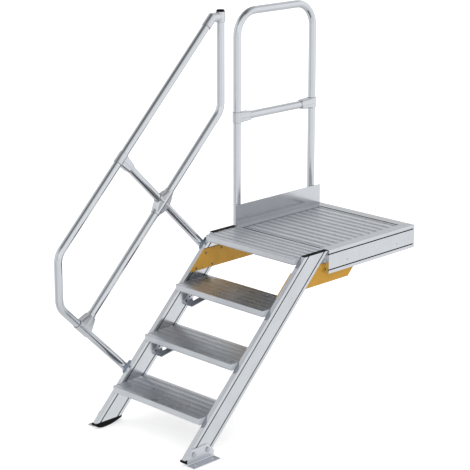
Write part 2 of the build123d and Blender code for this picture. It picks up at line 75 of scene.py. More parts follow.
@dataclass(frozen=True)
class StairSizes:
    """Main sizes of the stair, in metres.

    The nosing is how far a tread stands out in front of the stringers at its own height.
    """

    top: float = 0.060
    ground: float = -0.774
    rise: float = 0.212
    first_front: float = -1.527
    nosing: float = 0.053
    inner: float = 0.300
    outer: float = 0.326
    tube_x: float = -0.351
    tube_radius: float = 0.020
    treads: int = 3

    def front_of(self, tread: int) -> float:
        """Y of the front edge of a tread, counted from zero."""
        return self.first_front + tread * self.rise

    def top_of(self, tread: int) -> float:
        """Height of the top of a tread, counted from zero."""
        return self.top - (self.treads - tread) * self.rise

    @staticmethod
    def on_pitch(along: float, behind: float) -> tuple[float, float]:
        """Steps in Y and in Z of a move up the 45 degree pitch and square behind it."""
        return (behind + along) / math.sqrt(2), (along - behind) / math.sqrt(2)


SIZES = StairSizes()


# Node groups that several finishes share


class Graph:
    """A node tree with short calls to add nodes, set their values and link them."""

    SHADE = (0.25, 0.25, 0.26, 1.0)

    def __init__(self, tree: bpy.types.NodeTree) -> None:
        """Keeps the tree that the calls write to."""
        self.tree = tree

    @classmethod
    def emptied(cls, owner: bpy.types.Material | bpy.types.World) -> Graph:
        """Takes over the nodes of a material or world.

        Args:
            owner: what the nodes belong to.

        Returns:
            Its graph, with no nodes.
        """
        owner.use_nodes = True
        owner.node_tree.nodes.clear()
        return cls(owner.node_tree)

    def add(self, kind: str, **values: object) -> Node:
        """Adds a node and sets its plain properties.

        Args:
            kind: the node's type.
            values: property names with their values.

        Returns:
            The new node.
        """
        node = self.tree.nodes.new(kind)
        for name, value in values.items():
            setattr(node, name, value)
        return node

    def feed(self, node: Node, **inputs: object) -> Node:
        """Sets or links a node's inputs.

        Args:
            node: the node whose inputs are fed.
            inputs: a value or a socket each, by the input's name with underscores for
                spaces, or by the letter i and its number.

        Returns:
            The same node.
        """
        for name, value in inputs.items():
            key = int(name[1:]) if name[0] == "i" and name[1:].isdigit() else name.replace("_", " ")
            if isinstance(value, Socket):
                self.tree.links.new(value, node.inputs[key])
            else:
                node.inputs[key].default_value = value
        return node

    def object_place(self) -> Socket:
        """The Object coordinates of a new node."""
        return self.add("ShaderNodeTexCoord").outputs["Object"]

    def split(self, vector: Socket) -> Node:
        """A node that takes a vector apart into X, Y and Z."""
        return self.feed(self.add("ShaderNodeSeparateXYZ"), Vector=vector)

    def math(self, operation: str, first: object, second: object = 0.0) -> Socket:
        """A Math node of two inputs, and its result."""
        node = self.add("ShaderNodeMath", operation=operation)
        return self.feed(node, i0=first, i1=second).outputs[0]

    def line(self, value: object, slope: float, start: object) -> Socket:
        """A value times a slope plus a start."""
        node = self.add("ShaderNodeMath", operation="MULTIPLY_ADD")
        return self.feed(node, i0=value, i1=slope, i2=start).outputs[0]

    def ramp(
        self, value: object, low: float, high: float, start: float = 0.0, end: float = 1.0
    ) -> Socket:
        """Changes evenly with a value, and stays level outside its range.

        Args:
            value: what the result depends on.
            low: the value at which the change starts.
            high: the value at which it ends.
            start: the result at low.
            end: the result at high.

        Returns:
            The result.
        """
        node = self.add("ShaderNodeMapRange", clamp=True)
        self.feed(node, Value=value, From_Min=low, From_Max=high, To_Min=start, To_Max=end)
        return node.outputs["Result"]

    def mix(self, share: object, first: object, second: object) -> Socket:
        """A colour mix of two inputs by a share, and its result."""
        node = self.add("ShaderNodeMix", data_type="RGBA")
        return self.feed(node, i0=share, i6=first, i7=second).outputs[2]

    def blend(self, share: object, first: object, second: object) -> Socket:
        """A mix of two numbers by a share, and its result."""
        node = self.add("ShaderNodeMix", data_type="FLOAT")
        return self.feed(node, i0=share, i2=first, i3=second).outputs[0]

    def shade(self, colour: object, mask: Socket, amount: object) -> Socket:
        """Darkens a colour by a mask.

        Args:
            colour: the colour to darken.
            mask: where it gets darker.
            amount: how much darker it is where the mask is 1.

        Returns:
            The darkened colour.
        """
        share = self.math("MULTIPLY", mask, amount)
        node = self.add("ShaderNodeMix", data_type="RGBA", blend_type="MULTIPLY")
        return self.feed(node, i0=share, i6=colour, i7=self.SHADE).outputs[2]

    def cover(self, colour: object, mask: Socket, amount: float, paint: Colour) -> Socket:
        """Lays another colour over a colour by a mask.

        Args:
            colour: the colour below.
            mask: where the other colour lies.
            amount: how much of it lies there where the mask is 1.
            paint: the colour on top.

        Returns:
            The covered colour.
        """
        share = self.math("MULTIPLY", mask, amount)
        return self.mix(share, colour, (*paint, 1.0))


class SharedGroups:
    """Node groups used by more than one finish, each built once."""

    NEAR_WALL = 0.012
    NEAR_PIECE = 0.006
    OPEN_SKY = 0.80
    CLOSED_SKY = 0.55
    FLAT_DOT = 0.99
    EDGE_DOT = 0.80
    BROAD_SCALE = 0.11
    SCUFF_SCALE = 14.0

    def __init__(self) -> None:
        """Builds the five groups."""
        self.grain = self._grain()
        self.edges = self._edges()
        # Masks for the painted shade in slots and beside other pieces.
        self.crevice = self._closeness("crevice", self.NEAR_WALL, True)
        self.contact = self._closeness("contact_shade", self.NEAR_PIECE, False)
        self.handling = self._handling()

    @staticmethod
    def _start(
        name: str, inputs: Iterable[tuple[str, str, float | None]], outputs: Iterable[str]
    ) -> tuple[Graph, Node, Node]:
        """Makes an empty group with its sockets.

        Args:
            name: the group's name.
            inputs: each input's name, socket type and default.
            outputs: names of the value outputs.

        Returns:
            The graph to fill, the node of its inputs and the node of its outputs.
        """
        tree = bpy.data.node_groups.new(name, "ShaderNodeTree")
        for label, kind, default in inputs:
            socket = tree.interface.new_socket(label, in_out="INPUT", socket_type=kind)
            if default is not None:
                socket.default_value = default
        for label in outputs:
            tree.interface.new_socket(label, in_out="OUTPUT", socket_type="NodeSocketFloat")
        graph = Graph(tree)
        return graph, graph.add("NodeGroupInput"), graph.add("NodeGroupOutput")

    def _grain(self) -> bpy.types.NodeTree:
        """Fine lines left by drawing a profile: stretched noise at two scales.

        Returns:
            The group, which puts out the tone and the height of the lines.
        """
        graph, source, sink = self._start(
            "drawn_grain",
            [("Vector", "NodeSocketVector", None), ("Broad Share", "NodeSocketFloat", 0.4)],
            ["Tone", "Height"],
        )
        fine = graph.add("ShaderNodeTexNoise")
        graph.feed(fine, Vector=source.outputs[0], Scale=1.0, Detail=3.0, Roughness=0.65)
        slow = graph.add("ShaderNodeVectorMath", operation="SCALE")
        graph.feed(slow, i0=source.outputs[0], Scale=self.BROAD_SCALE)
        broad = graph.add("ShaderNodeTexNoise")
        graph.feed(broad, Vector=slow.outputs[0], Scale=1.0, Detail=2.0, Roughness=0.5)
        tone = graph.blend(source.outputs[1], fine.outputs["Fac"], broad.outputs["Fac"])
        spread = graph.ramp(tone, low=0.3, high=0.7)
        graph.feed(sink, Tone=spread, Height=fine.outputs["Fac"])
        return graph.tree

    def _edges(self) -> bpy.types.NodeTree:
        """Where a rounded normal leaves the true normal, which is at the edges.

        Returns:
            The group, which puts out a mask.
        """
        graph, source, sink = self._start(
            "worn_edges", [("Radius", "NodeSocketFloat", 0.0015)], ["Mask"]
        )
        bevel = graph.feed(graph.add("ShaderNodeBevel", samples=4), Radius=source.outputs[0])
        true = graph.add("ShaderNodeNewGeometry")
        dot = graph.add("ShaderNodeVectorMath", operation="DOT_PRODUCT")
        graph.feed(dot, i0=bevel.outputs[0], i1=true.outputs["True Normal"])
        graph.feed(sink, Mask=graph.ramp(dot.outputs["Value"], self.FLAT_DOT, self.EDGE_DOT))
        return graph.tree

    def _closeness(self, name: str, distance: float, only_local: bool) -> bpy.types.NodeTree:
        """How closed in a point is, from 0 in the open to 1 in a slot or beside another piece.

        Args:
            name: the group's name.
            distance: how far walls are looked for.
            only_local: whether only the piece's own walls count.

        Returns:
            The group, which puts out a mask.
        """
        graph, source, sink = self._start(name, [("Distance", "NodeSocketFloat", distance)], ["Mask"])
        closed = graph.add("ShaderNodeAmbientOcclusion", samples=8, only_local=only_local)
        graph.feed(closed, Distance=source.outputs[0])
        graph.feed(sink, Mask=graph.ramp(closed.outputs["AO"], self.OPEN_SKY, self.CLOSED_SKY))
        return graph.tree

    def _handling(self) -> bpy.types.NodeTree:
        """Soft smudges from handling and storage, and a scatter of small scuffs.

        Returns:
            The group, which puts out a mask of each.
        """
        graph, source, sink = self._start(
            "handling_marks",
            [("Vector", "NodeSocketVector", None), ("Scale", "NodeSocketFloat", 9.0)],
            ["Smudge", "Scuff"],
        )
        cloud = graph.add("ShaderNodeTexNoise")
        graph.feed(cloud, Vector=source.outputs[0], Scale=source.outputs[1], Detail=4.0, Roughness=0.6)
        cells = graph.add("ShaderNodeTexVoronoi")
        wide = graph.math("MULTIPLY", source.outputs[1], self.SCUFF_SCALE)
        graph.feed(cells, Vector=source.outputs[0], Scale=wide)
        graph.feed(
            sink,
            Smudge=graph.ramp(cloud.outputs["Fac"], low=0.35, high=0.7),
            Scuff=graph.ramp(cells.outputs["Distance"], low=0.10, high=0.02),
        )
        return graph.tree


# Patterns that belong to one finish


class Run(Enum):
    """How a piece was made: a turn about X, and the axes that its lines are drawn out along."""

    ALONG_CLIMB = (0.0, "Y")
    ALONG_PITCH = (-math.pi / 4, "Y")
    ACROSS = (0.0, "X")
    ROUND = (0.0, "YZ")
    CAST = (0.0, "")


@dataclass(frozen=True)
class Bands:
    """Painted light and shade of the ribs: broad bands across a ribbed surface, counted along the
    climb.

    With the place y behind the first dark band, the share is amount times half of one
    plus the cosine of 2 pi y / pitch. Where the pattern starts again with every tread,
    y is first taken modulo the going, and a going of 0 means that it doesn't.
    """

    pitch: float
    start: float
    going: float
    amount: float

    def share(self, graph: Graph) -> Socket:
        """Adds the pattern to a graph.

        Args:
            graph: the material's graph.

        Returns:
            How much darker a point is, from 0 to the amount.
        """
        y = graph.split(graph.object_place()).outputs["Y"]
        behind = graph.math("SUBTRACT", y, self.start)
        if self.going > 0.0:
            behind = graph.math("FLOORED_MODULO", behind, self.going)
        wave = graph.math("COSINE", graph.math("MULTIPLY", behind, 2 * math.pi / self.pitch))
        return graph.math("MULTIPLY", graph.math("ADD", wave, 1.0), self.amount / 2)


@dataclass(frozen=True)
class Seams:
    """Painted shade of the gaps along the left, front and rear edges of the platform's planks.

    The distance to the nearest edge is the smallest of x - left, y - front and rear - y,
    and a line is where that distance is below the width, fading over its last part.
    """

    left: float
    front: float
    rear: float
    width: float
    fade_from: float = 0.7
    # Colour of the painted shade in the gaps.
    gap_shade: Colour = (0.03, 0.03, 0.033)

    def share(self, graph: Graph) -> Socket:
        """Adds the lines to a graph.

        Args:
            graph: the material's graph.

        Returns:
            Share that is 1 on a line and 0 elsewhere.
        """
        parts = graph.split(graph.object_place())
        aside = graph.math("SUBTRACT", parts.outputs["X"], self.left)
        behind = graph.math("SUBTRACT", parts.outputs["Y"], self.front)
        before = graph.math("SUBTRACT", self.rear, parts.outputs["Y"])
        nearest = graph.math("MINIMUM", aside, graph.math("MINIMUM", behind, before))
        return graph.ramp(nearest, self.width * self.fade_from, self.width, 1.0, 0.0)


@dataclass(frozen=True)
class RibbedTops:
    """Heights of the finely ribbed tops, whose ribs are shaded nearly as one level face.

    A point at height z is on a top where z - highest - above, taken modulo the spacing,
    is more than spacing - above - below.
    """

    highest: float
    spacing: float
    above: float = 0.0016
    below: float = 0.0018
    levelled: float = 0.97

    def level(self, graph: Graph, place: Socket, normal: Socket) -> Socket:
        """Turns the normal upwards on the ribbed tops.

        Args:
            graph: the material's graph.
            place: Object coordinates.
            normal: the normal elsewhere.

        Returns:
            The new normal.
        """
        z = graph.split(place).outputs["Z"]
        lowered = graph.math("SUBTRACT", z, self.highest + self.above)
        over = graph.math("FLOORED_MODULO", lowered, self.spacing)
        ribbed = graph.math("GREATER_THAN", over, self.spacing - (self.above + self.below))
        mixed = graph.add("ShaderNodeMix", data_type="VECTOR")
        share = graph.math("MULTIPLY", ribbed, self.levelled)
        graph.feed(mixed, i0=share, i4=normal, i5=(0.0, 0.0, 1.0))
        even = graph.add("ShaderNodeVectorMath", operation="NORMALIZE")
        return graph.feed(even, i0=mixed.outputs[1]).outputs[0]


# Finishes


@dataclass(frozen=True)
class MetalFinish:
    """An aluminium or steel surface with drawn lines, smudges, worn edges and painted light and shade.

    Attributes:
        name: the finish's name, which is the record's slot where it has one.
        colour: tint of the metal.
        roughness: roughness where nothing dulls it.
        run: the way that the lines go.
        contrast: how much darker the lines are.
        fineness: lines to a metre.
        stretch: how many times longer than wide a line is.
        bump: strength of the lines' relief.
        smudge: how much darker the smudges are.
        wear: how much brighter the edges are.
        crevice: how much painted shade darkens the piece's own slots.
        contact: how much painted shade darkens it where another piece touches it.
        painted_under_shade: tint of faces that look down, which paints the shade under the piece.
        painted_top_tone: tint of faces that look up, which paints their light and shade.
        top_roughness: roughness of faces that look up.
        tops: where fine ribs are shaded as a level face.
        bands: painted shade of the ribs, as broad bands on faces that look up.
        dim_mirrored: painted shade, how much darker the piece is in the reflections of other metals.
        seams: painted shade along the gaps at the edges of a panel.
    """

    name: str
    colour: Colour
    roughness: float
    run: Run
    contrast: float = 0.06
    fineness: float = 700.0
    stretch: float = 500.0
    bump: float = 0.05
    smudge: float = 0.08
    wear: float = 0.30
    crevice: float = 0.0
    contact: float = 0.0
    painted_under_shade: Colour | None = None
    painted_top_tone: Colour | None = None
    top_roughness: float | None = None
    tops: RibbedTops | None = None
    bands: Bands | None = None
    dim_mirrored: float = 0.0
    seams: Seams | None = None

    BRIGHT_EDGE = (0.93, 0.94, 0.95)
    # Colour of the painted shade in crevices and beside other pieces.
    PAINTED_SHADE = (0.02, 0.02, 0.022)
    EDGE_RADIUS = 0.0010
    RELIEF = 0.0004
    SMUDGE_DULLS = 0.05
    LINES_DULL = 0.03
    FACING_FROM = 0.80
    FACING_FULL = 0.95

    def build(self, groups: SharedGroups) -> bpy.types.Material:
        """Makes the material.

        Args:
            groups: the shared node groups.

        Returns:
            The finished material.
        """
        material = bpy.data.materials.new(self.name)
        graph = Graph.emptied(material)
        place = graph.object_place()
        turned = graph.feed(graph.add("ShaderNodeMapping"), Vector=place)
        self._lay_grain(turned)
        grain = graph.add("ShaderNodeGroup", node_tree=groups.grain)
        graph.feed(grain, Vector=turned.outputs[0])
        marks = graph.feed(graph.add("ShaderNodeGroup", node_tree=groups.handling), Vector=place)
        up = self._facing(graph, 1.0)
        colour = self._colour(graph, groups, grain, marks, up)
        bump = graph.add("ShaderNodeBump")
        graph.feed(bump, Strength=self.bump, Distance=self.RELIEF, Height=grain.outputs["Height"])
        graph.feed(bump, Normal=self._soft_normal(graph, place))
        shader = graph.add("ShaderNodeBsdfPrincipled")
        graph.feed(shader, Base_Color=colour, Roughness=self._roughness(graph, grain, marks, up))
        graph.feed(shader, Metallic=1.0, Normal=bump.outputs[0])
        graph.feed(graph.add("ShaderNodeOutputMaterial"), Surface=shader.outputs[0])
        return material

    def _lay_grain(self, mapping: Node) -> None:
        """Turns and stretches the pattern so that its lines run the way the piece was made.

        Args:
            mapping: the Mapping node that the pattern reads.
        """
        turn, drawn = self.run.value
        short = self.fineness / self.stretch
        mapping.inputs["Rotation"].default_value = (turn, 0.0, 0.0)
        scale = tuple(short if axis in drawn else self.fineness for axis in "XYZ")
        mapping.inputs["Scale"].default_value = scale

    def _soft_normal(self, graph: Graph, place: Socket) -> Socket:
        """Normal rounded at the edges, and turned upwards among the fine ribs.

        Args:
            graph: the material's graph.
            place: Object coordinates.

        Returns:
            The normal.
        """
        bevel = graph.add("ShaderNodeBevel", samples=4)
        soft = graph.feed(bevel, Radius=self.EDGE_RADIUS).outputs[0]
        return soft if self.tops is None else self.tops.level(graph, place, soft)

    def _facing(self, graph: Graph, way: float) -> Socket:
        """Share that is 1 on faces that look up, or down.

        Args:
            graph: the material's graph.
            way: 1 for up and -1 for down.

        Returns:
            The share.
        """
        normal = graph.add("ShaderNodeNewGeometry").outputs["True Normal"]
        z = graph.split(normal).outputs["Z"]
        return graph.ramp(z, low=self.FACING_FROM * way, high=self.FACING_FULL * way)

    def _colour(
        self, graph: Graph, groups: SharedGroups, grain: Node, marks: Node, up: Socket
    ) -> Socket:
        """Colour from the plain tint through painted light and shade, lines, smudges and worn edges to
        the painted shade in the crevices.

        Args:
            graph: the material's graph.
            groups: the shared node groups.
            grain: the node of the drawn lines.
            marks: the node of the smudges.
            up: share that is 1 on faces that look up.

        Returns:
            The colour.
        """
        base: object = (*self.colour, 1.0)
        # Painted light and shade: faces that look up get their own tint.
        if self.painted_top_tone is not None:
            base = graph.mix(up, base, (*self.painted_top_tone, 1.0))
        # Painted shade of the ribs, as bands on faces that look up.
        if self.bands is not None:
            base = graph.shade(base, up, self.bands.share(graph))
        # Painted shade in reflections: other metals see this piece darker.
        if self.dim_mirrored > 0.0:
            in_mirror = graph.add("ShaderNodeLightPath").outputs["Is Glossy Ray"]
            base = graph.shade(base, in_mirror, self.dim_mirrored)
        # Painted shade: faces that look down get darker.
        if self.painted_under_shade is not None:
            base = graph.mix(self._facing(graph, -1.0), base, (*self.painted_under_shade, 1.0))
        # Painted shade in the gaps along a panel's edges.
        if self.seams is not None:
            base = graph.mix(self.seams.share(graph), base, (*self.seams.gap_shade, 1.0))
        lined = graph.shade(base, grain.outputs["Tone"], self.contrast)
        smudged = graph.shade(lined, marks.outputs["Smudge"], self.smudge)
        edges = graph.add("ShaderNodeGroup", node_tree=groups.edges)
        worn = graph.cover(smudged, edges.outputs["Mask"], self.wear, self.BRIGHT_EDGE)
        # Painted shade from ambient occlusion in the piece's slots and beside other pieces.
        for amount, group in ((self.crevice, groups.crevice), (self.contact, groups.contact)):
            if amount > 0.0:
                closed = graph.add("ShaderNodeGroup", node_tree=group)
                worn = graph.cover(worn, closed.outputs["Mask"], amount, self.PAINTED_SHADE)
        return worn

    def _roughness(self, graph: Graph, grain: Node, marks: Node, up: Socket) -> Socket:
        """Roughness that smudges and lines vary a little, with another level on top faces.

        Args:
            graph: the material's graph.
            grain: the node of the drawn lines.
            marks: the node of the smudges.
            up: share that is 1 on faces that look up.

        Returns:
            The roughness.
        """
        level: object = self.roughness
        if self.top_roughness is not None:
            level = graph.ramp(up, 0.0, 1.0, self.roughness, self.top_roughness)
        dulled = graph.line(marks.outputs["Smudge"], self.SMUDGE_DULLS, level)
        return graph.line(grain.outputs["Tone"], self.LINES_DULL, dulled)


@dataclass(frozen=True)
class CoatedFinish:
    """A coated or moulded surface: fine orange peel, slight mottling and worn edges.

    Attributes:
        name: the finish's name, which is the record's slot.
        colour: plain colour of the surface.
        roughness: its mean roughness.
        metallic: how metallic the coat looks.
        peel_scale: dimples to a metre.
        bump: strength of their relief.
        specular: level of the plain gloss.
        edge_colour: colour of worn edges and scuffs.
    """

    name: str
    colour: Colour
    roughness: float
    metallic: float = 0.0
    peel_scale: float = 700.0
    bump: float = 0.15
    specular: float = 0.5
    edge_colour: Colour = (0.6, 0.6, 0.6)

    DEEPER = 0.82
    MOTTLING = 0.5
    SCUFFS = 0.12
    WEAR = 0.2
    SMUDGE_SCALE = 14.0
    SMUDGE_DULLS = 0.15
    MEAN_DULLING = 0.07
    EDGE_RADIUS = 0.0012
    RELIEF = 0.0003

    def build(self, groups: SharedGroups) -> bpy.types.Material:
        """Makes the material.

        Args:
            groups: the shared node groups.

        Returns:
            The finished material.
        """
        material = bpy.data.materials.new(self.name)
        graph = Graph.emptied(material)
        place = graph.object_place()
        peel = graph.add("ShaderNodeTexNoise")
        graph.feed(peel, Vector=place, Scale=self.peel_scale, Detail=2.0, Roughness=0.5)
        marks = graph.add("ShaderNodeGroup", node_tree=groups.handling)
        graph.feed(marks, Vector=place, Scale=self.SMUDGE_SCALE)
        edges = graph.add("ShaderNodeGroup", node_tree=groups.edges)
        deep = tuple(channel * self.DEEPER for channel in self.colour)
        plain = (*self.colour, 1.0)
        mottled = graph.cover(plain, marks.outputs["Smudge"], self.MOTTLING, deep)
        scuffed = graph.cover(mottled, marks.outputs["Scuff"], self.SCUFFS, self.edge_colour)
        worn = graph.cover(scuffed, edges.outputs["Mask"], self.WEAR, self.edge_colour)
        smooth = self.roughness - self.MEAN_DULLING
        dulled = graph.line(marks.outputs["Smudge"], self.SMUDGE_DULLS, smooth)
        soft = graph.feed(graph.add("ShaderNodeBevel", samples=4), Radius=self.EDGE_RADIUS)
        bump = graph.add("ShaderNodeBump")
        graph.feed(bump, Strength=self.bump, Distance=self.RELIEF, Height=peel.outputs["Fac"])
        graph.feed(bump, Normal=soft.outputs[0])
        shader = graph.add("ShaderNodeBsdfPrincipled")
        graph.feed(shader, Base_Color=worn, Roughness=dulled, Normal=bump.outputs[0])
        graph.feed(shader, Metallic=self.metallic, Specular_IOR_Level=self.specular)
        graph.feed(graph.add("ShaderNodeOutputMaterial"), Surface=shader.outputs[0])
        return material


class FinishBook:
    """All finishes of the stair, by name: the record's slots and two for the fasteners."""

    PROFILE = (0.850, 0.885, 0.930)
    RIBBED = (0.80, 0.835, 0.88)
    SHEET = (0.80, 0.83, 0.87)
    # This grey is also the painted shade on the frame's top faces.
    FORGED_AND_TOP_SHADE = (0.78, 0.81, 0.86)
    TOPS = RibbedTops(SIZES.top, SIZES.rise)
    # Painted light and shade in these finishes: the tints of faces that look up and down, the rib
    # bands, the plank seams, the darkened crevices and contacts, and the dimming in reflections.
    FINISHES: tuple[MetalFinish | CoatedFinish, ...] = (
        MetalFinish("stringer_aluminium", PROFILE, 0.15, Run.ALONG_PITCH, wear=0.1, crevice=1.0),
        MetalFinish(
            "frame_aluminium", PROFILE, 0.17, Run.ALONG_CLIMB,
            wear=0.1, crevice=1.0, painted_top_tone=FORGED_AND_TOP_SHADE, dim_mirrored=0.85,
        ),
        MetalFinish(
            "tread_aluminium", RIBBED, 0.26, Run.ACROSS,
            painted_under_shade=(0.40, 0.41, 0.43), painted_top_tone=(0.83, 0.86, 0.91), top_roughness=0.25,
            contrast=0.03, stretch=1500.0, bump=0.02, tops=TOPS, dim_mirrored=0.65,
            bands=Bands(pitch=0.040, start=-1.4945, going=SIZES.rise, amount=0.12),
        ),
        MetalFinish(
            "plank_aluminium", RIBBED, 0.30, Run.ACROSS,
            painted_under_shade=(0.20, 0.21, 0.22), painted_top_tone=(0.84, 0.875, 0.925),
            contrast=0.03, stretch=1500.0, tops=TOPS, dim_mirrored=0.6,
            bands=Bands(pitch=0.050, start=-0.639, going=0.0, amount=0.13),
            seams=Seams(left=-0.268, front=-0.664, rear=-0.065, width=0.008),
        ),
        MetalFinish(
            "toe_board_aluminium", SHEET, 0.16, Run.ALONG_CLIMB,
            contrast=0.04, smudge=0.05, dim_mirrored=0.6,
        ),
        MetalFinish(
            "rail_tube_aluminium", RIBBED, 0.10, Run.ROUND, smudge=0.04, bump=0.02, contact=0.8
        ),
        MetalFinish("fitting_aluminium", SHEET, 0.20, Run.CAST, fineness=350.0, contact=0.8),
        MetalFinish("clamp_steel", (0.40, 0.45, 0.51), 0.28, Run.CAST, fineness=500.0),
        MetalFinish(
            "floor_bracket_steel", (0.88, 0.91, 0.96), 0.28, Run.ALONG_CLIMB,
            painted_top_tone=(0.52, 0.545, 0.59),
        ),
        MetalFinish("tread_bracket_steel", FORGED_AND_TOP_SHADE, 0.30, Run.CAST, fineness=500.0),
        CoatedFinish(
            "gusset_coating", (0.68, 0.36, 0.035), 0.33, metallic=0.25, edge_colour=(0.80, 0.50, 0.12)
        ),
        CoatedFinish(
            "black_plastic", (0.004, 0.004, 0.005), 0.60,
            specular=0.08, edge_colour=(0.02, 0.02, 0.02),
        ),
        CoatedFinish(
            "black_rubber", (0.006, 0.006, 0.007), 0.70,
            peel_scale=420.0, bump=0.3, specular=0.15, edge_colour=(0.03, 0.03, 0.03),
        ),
        MetalFinish("zinc_plated", (0.66, 0.69, 0.74), 0.26, Run.CAST, fineness=900.0),
        MetalFinish("dark_bolt", (0.16, 0.16, 0.17), 0.30, Run.CAST, fineness=900.0),
    )

    def __init__(self) -> None:
        """Builds every finish once."""
        groups = SharedGroups()
        self.materials = {finish.name: finish.build(groups) for finish in self.FINISHES}

    def dress(self, piece: bpy.types.Object, finish: str) -> None:
        """Gives a piece one finish on all its faces."""
        piece.data.materials.clear()
        piece.data.materials.append(self.materials[finish])


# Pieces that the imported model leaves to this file


def grid_faces(rows: int, columns: int) -> np.ndarray:
    """Quads between the rows of a grid whose columns close on themselves.

    A point's index is its row times the number of columns, plus its column.

    Args:
        rows: number of rings.
        columns: points in each ring.

    Returns:
        Rows of four vertex indices.
    """
    row = np.arange(rows - 1)[:, None] * columns
    column = np.arange(columns)[None, :]
    near = row + column
    near_next = row + (column + 1) % columns
    quads = np.stack([near, near_next, near_next + columns, near + columns], axis=-1)
    return quads.reshape(-1, 4)


def add_piece(name: str, parts: Sequence[Surface], finish: str, book: FinishBook) -> None:
    """Makes one object from several surfaces, dresses it and lets it ride on the stair.

    Its doubles are merged, its faces point outwards, and it stays at the origin.

    Args:
        name: the object's name.
        parts: vertices and quads of each surface.
        finish: the name of its finish.
        book: the finishes.
    """
    offsets = np.cumsum([0] + [len(vertices) for vertices, _ in parts])
    vertices = np.vstack([vertices for vertices, _ in parts])
    faces = np.vstack([quads + offset for (_, quads), offset in zip(parts, offsets)])
    mesh = bpy.data.meshes.new(name)
    mesh.from_pydata(vertices.tolist(), [], faces.tolist())
    mesh.update()
    piece = bpy.data.objects.new(name, mesh)
    bpy.context.scene.collection.objects.link(piece)
    clean = bmesh.new()
    clean.from_mesh(mesh)
    bmesh.ops.remove_doubles(clean, verts=clean.verts, dist=1e-6)
    bmesh.ops.dissolve_degenerate(clean, edges=clean.edges, dist=1e-7)
    bmesh.ops.recalc_face_normals(clean, faces=clean.faces)
    clean.to_mesh(mesh)
    clean.free()
    book.dress(piece, finish)
    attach(piece, "root")
    LOG.info("%s: %d parts, %s", name, len(parts), finish)


class Head(Enum):
    """Kinds of fastener heads, with radius, height and the number of flats."""

    HEX_M8 = (0.0075, 0.0055, 6)
    HEX_M10 = (0.0095, 0.0065, 6)
    BUTTON = (0.0080, 0.0045, 0)
    BUTTON_M6 = (0.0055, 0.0030, 0)
    RIVET = (0.0045, 0.0018, 0)


@dataclass(frozen=True)
class Fastener:
    """One head on a surface: where it sits and which way it points."""

    place: Point
    out: Point
    head: Head = Head.HEX_M8

    STEPS = 24
    DOME_RINGS = 6
    FLANGE = 1.45
    RIM = 0.25
    CHAMFER = 0.86
    CHAMFER_START = 0.93

    def surface(self) -> Surface:
        """Works out the head as rings about its axis, turned the way it points.

        A ring's point at angle t is its radius times cos t and sin t, at its level.

        Returns:
            Vertices as rows, and quads as rows of four indices.
        """
        radius, height, flats = self.head.value
        angle = np.linspace(0.0, 2 * np.pi, self.STEPS, endpoint=False)
        ring, level = self._hexagon(angle, flats) if flats else self._dome()
        across = radius * ring
        up = height * level[:, None] * np.ones(self.STEPS)
        points = np.stack([across * np.cos(angle), across * np.sin(angle), up], axis=-1)
        turn = Vector(self.out).normalized().to_track_quat("Z", "Y").to_matrix()
        vertices = points.reshape(-1, 3) @ np.array(turn).T + np.array(self.place)
        return vertices, grid_faces(len(ring), self.STEPS)

    def _hexagon(self, angle: np.ndarray, flats: int) -> Rings:
        """Rings of a round flange with a chamfered head of flats on it.

        A flat's distance from the axis at angle a is one over the cosine of the angle from
        the nearest flat's middle.

        Args:
            angle: the angle of each point of a ring.
            flats: number of flats.

        Returns:
            Radii as a row for each ring, and each ring's level, as shares of the head's own.
        """
        sector = 2 * np.pi / flats
        flat = 1.0 / np.cos((angle + sector / 2) % sector - sector / 2)
        round_part = np.array([0.0, self.FLANGE, self.FLANGE, 0.0, 0.0, 0.0, 0.0])
        flat_part = np.array([0.0, 0.0, 0.0, 1.0, 1.0, self.CHAMFER, 0.0])
        level = np.array([0.0, 0.0, self.RIM, self.RIM, self.CHAMFER_START, 1.0, 1.0])
        return round_part[:, None] * np.ones(len(angle)) + flat_part[:, None] * flat, level

    def _dome(self) -> Rings:
        """Rings of a low rim with a quarter of an ellipse above it.

        At turn t the radius is cos t and the level is the rim's plus the rest times sin t.

        Returns:
            Radii as a row for each ring, and each ring's level, as shares of the head's own.
        """
        turn = np.linspace(0.0, np.pi / 2, self.DOME_RINGS)
        radii = np.concatenate([[0.0, 1.0], np.cos(turn)])
        level = np.concatenate([[0.0, 0.0], self.RIM + (1.0 - self.RIM) * np.sin(turn)])
        return radii[:, None] * np.ones(self.STEPS), level


